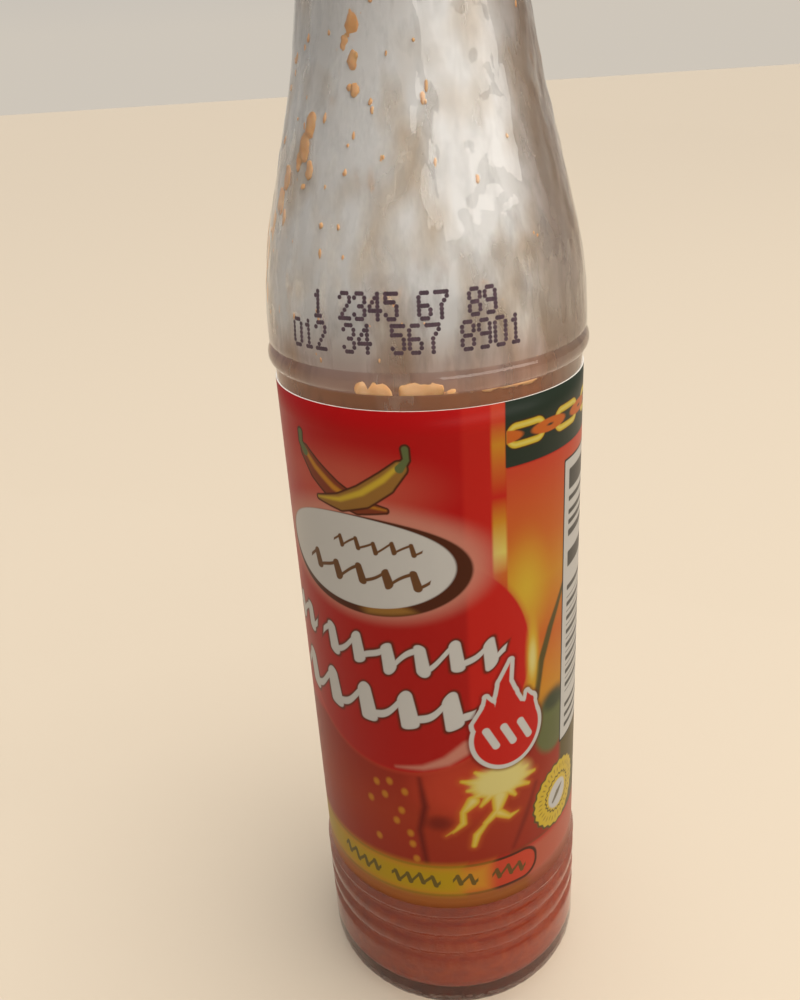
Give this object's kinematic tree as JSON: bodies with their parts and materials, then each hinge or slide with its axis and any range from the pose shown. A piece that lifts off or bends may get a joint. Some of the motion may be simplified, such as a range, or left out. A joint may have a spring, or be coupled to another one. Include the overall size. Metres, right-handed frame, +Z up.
{
  "type": "hot sauce bottle",
  "caption": "Small round glass bottle with a ribbed heel, wrap label and long tapered neck, part filled with sauce and shut with a ribbed screw cap.",
  "frame": {"origin": "centre of the base, on the surface that the bottle stands on", "axes": "+Z up along the bottle's axis; -Y points out of the front of the label, +X to its right"},
  "size_m": [0.0374, 0.0374, 0.1584],
  "materials": {
    "clear_glass": "clear flint glass, rippled on the shoulder and neck",
    "sauce": "thick brown-orange pepper sauce, slightly see-through",
    "label_paper": "glossy printed paper, fields of red, green, gold and white",
    "cap_plastic": "satin moulded plastic with grip ribs"
  },
  "bodies": {
    "root": {"bottle": "clear_glass", "sauce": "sauce", "label": "label_paper", "cap": "cap_plastic"}
  },
  "joints": []
}
